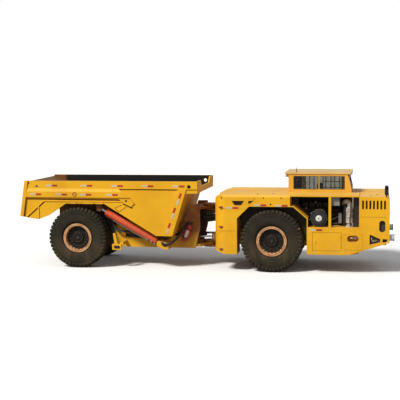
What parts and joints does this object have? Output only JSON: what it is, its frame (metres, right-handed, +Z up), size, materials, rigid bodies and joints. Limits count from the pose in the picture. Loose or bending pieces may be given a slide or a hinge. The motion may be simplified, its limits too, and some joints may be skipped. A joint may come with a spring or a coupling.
{
  "type": "underground mining truck",
  "caption": "Low-profile articulated dump truck for underground haulage: a tractor with an offset cab and open engine bay, hinged to a rear frame with a tipping scow-end box.",
  "frame": {"origin": "on the ground, midway along the truck and on its centre plane", "axes": "+X is forwards, +Y is the left side, +Z is up"},
  "size_m": [9.15, 2.2, 2.44],
  "materials": {
    "truck_yellow": "gloss paint with dust and scuffs",
    "tyre_rubber": "dusty tread rubber",
    "rim_tan": "dusty orange-tan paint",
    "cylinder_red": "satin red paint",
    "rod_chrome": "polished",
    "frame_dark": "matt dark paint under dust",
    "cast_dark": "oily cast iron",
    "steel_pipe": "heat-dulled",
    "black_plastic": "moulded",
    "window_glass": "clear",
    "lamp_glass": "clear lens",
    "seat_fabric": "woven",
    "radiator_core": "dull fins",
    "bottle_red": "gloss red paint"
  },
  "bodies": {
    "tractor": {"front_frame": "truck_yellow", "front_axle": "cast_dark", "fender_left": "truck_yellow", "fender_right": "truck_yellow", "hood_rear": "truck_yellow", "arch_right": "truck_yellow", "nose_sides": "truck_yellow", "locker": "truck_yellow", "deck_engine": "truck_yellow", "hood_front": "truck_yellow", "grille": "truck_yellow", "headlamps": "lamp_glass", "engine_block": "cast_dark", "air_cleaner": "black_plastic", "exhaust": "steel_pipe", "control_box": "frame_dark", "radiator": "radiator_core", "cab_shell": "truck_yellow", "cab_roof": "truck_yellow", "cab_glass": "window_glass", "seat": "seat_fabric", "battery_box": "truck_yellow", "mirror_and_antenna": "black_plastic", "drive_shaft_front": "cast_dark"},
    "rear_half": {"rear_frame": "truck_yellow", "rear_axle": "cast_dark", "side_brackets": "truck_yellow", "fire_extinguisher": "bottle_red", "drive_shaft_rear": "cast_dark"},
    "dump_box": {"box_floor": "truck_yellow", "box_subframe": "truck_yellow", "box_front": "truck_yellow", "box_side_left": "truck_yellow", "box_side_right": "truck_yellow", "box_rail_left": "truck_yellow", "box_rail_right": "truck_yellow"},
    "cab_door": {"cab_door": "truck_yellow", "door_glass": "window_glass"},
    "locker_door": {"locker_door": "truck_yellow"},
    "wheel_front_left": {"tyre_front_left": "tyre_rubber", "rim_front_left": "rim_tan"},
    "wheel_front_right": {"tyre_front_right": "tyre_rubber", "rim_front_right": "rim_tan"},
    "wheel_rear_left": {"tyre_rear_left": "tyre_rubber", "rim_rear_left": "rim_tan"},
    "wheel_rear_right": {"tyre_rear_right": "tyre_rubber", "rim_rear_right": "rim_tan"},
    "hoist_barrel_left": {"hoist_barrel_left": "cylinder_red"},
    "hoist_rod_left": {"hoist_rod_left": "rod_chrome"},
    "steering_barrel_left": {"steering_barrel_left": "frame_dark"},
    "steering_rod_left": {"steering_rod_left": "rod_chrome"},
    "hoist_barrel_right": {"hoist_barrel_right": "cylinder_red"},
    "hoist_rod_right": {"hoist_rod_right": "rod_chrome"},
    "steering_barrel_right": {"steering_barrel_right": "frame_dark"},
    "steering_rod_right": {"steering_rod_right": "rod_chrome"}
  },
  "joints": [
    {"name": "articulation", "type": "hinge", "parent": "tractor", "child": "rear_half", "pos_m": [0.035, 0, 0.99], "axis": [0, 0, 1], "range_deg": [-40, 40]},
    {"name": "wheel_front_left_spin", "type": "hinge", "parent": "tractor", "child": "wheel_front_left", "pos_m": [1.725, 0.885, 0.7465], "axis": [0, 1, 0], "continuous": true},
    {"name": "wheel_front_right_spin", "type": "hinge", "parent": "tractor", "child": "wheel_front_right", "pos_m": [1.725, -0.885, 0.7465], "axis": [0, 1, 0], "continuous": true},
    {"name": "wheel_rear_left_spin", "type": "hinge", "parent": "rear_half", "child": "wheel_rear_left", "pos_m": [-3.095, 0.885, 0.7465], "axis": [0, 1, 0], "continuous": true},
    {"name": "wheel_rear_right_spin", "type": "hinge", "parent": "rear_half", "child": "wheel_rear_right", "pos_m": [-3.095, -0.885, 0.7465], "axis": [0, 1, 0], "continuous": true},
    {"name": "box_tip", "type": "hinge", "parent": "rear_half", "child": "dump_box", "pos_m": [-3.695, 0, 1.12], "axis": [0, -1, 0], "range_deg": [0, 65]},
    {"name": "hoist_swing_left", "type": "hinge", "parent": "rear_half", "child": "hoist_barrel_left", "pos_m": [-1.045, 0.86, 0.62], "axis": [0, -1, 0], "range_deg": [-4.61, 0]},
    {"name": "hoist_stroke_left", "type": "slide", "parent": "hoist_barrel_left", "child": "hoist_rod_left", "axis": [-0.8729, 0, 0.4879], "range_m": [0, 1.2525]},
    {"name": "hoist_swing_right", "type": "hinge", "parent": "rear_half", "child": "hoist_barrel_right", "pos_m": [-1.045, -0.86, 0.62], "axis": [0, -1, 0], "range_deg": [-4.61, 0]},
    {"name": "hoist_stroke_right", "type": "slide", "parent": "hoist_barrel_right", "child": "hoist_rod_right", "axis": [-0.8729, 0, 0.4879], "range_m": [0, 1.2525]},
    {"name": "steer_swing_left", "type": "hinge", "parent": "rear_half", "child": "steering_barrel_left", "pos_m": [-0.865, 0.3, 0.74], "axis": [0, 0, 1], "range_deg": [-6.69, 6.69]},
    {"name": "steer_stroke_left", "type": "slide", "parent": "steering_barrel_left", "child": "steering_rod_left", "axis": [0.9996, 0.028, 0], "range_m": [-0.2211, 0.2211]},
    {"name": "steer_swing_right", "type": "hinge", "parent": "rear_half", "child": "steering_barrel_right", "pos_m": [-0.865, -0.3, 0.74], "axis": [0, 0, 1], "range_deg": [-6.69, 6.69]},
    {"name": "steer_stroke_right", "type": "slide", "parent": "steering_barrel_right", "child": "steering_rod_right", "axis": [0.9996, -0.028, 0], "range_m": [-0.2211, 0.2211]},
    {"name": "cab_door_hinge", "type": "hinge", "parent": "tractor", "child": "cab_door", "pos_m": [3.342, 1.08, 1.545], "axis": [0, 0, -1], "range_deg": [0, 85]},
    {"name": "locker_door_hinge", "type": "hinge", "parent": "tractor", "child": "locker_door", "pos_m": [3.36, -1.09, 0.767], "axis": [0, 0, 1], "range_deg": [0, 100]}
  ],
  "couplings": [
    {"joint": "hoist_swing_left", "follows": "box_tip", "ratio": -0.069565},
    {"joint": "hoist_stroke_left", "follows": "box_tip", "m_per_rad": 1.103},
    {"joint": "hoist_swing_right", "follows": "box_tip", "ratio": -0.069565},
    {"joint": "hoist_stroke_right", "follows": "box_tip", "m_per_rad": 1.103},
    {"joint": "steer_swing_left", "follows": "articulation", "ratio": -0.16397},
    {"joint": "steer_stroke_left", "follows": "articulation", "m_per_rad": 0.31519},
    {"joint": "steer_swing_right", "follows": "articulation", "ratio": -0.16397},
    {"joint": "steer_stroke_right", "follows": "articulation", "m_per_rad": -0.31519}
  ]
}
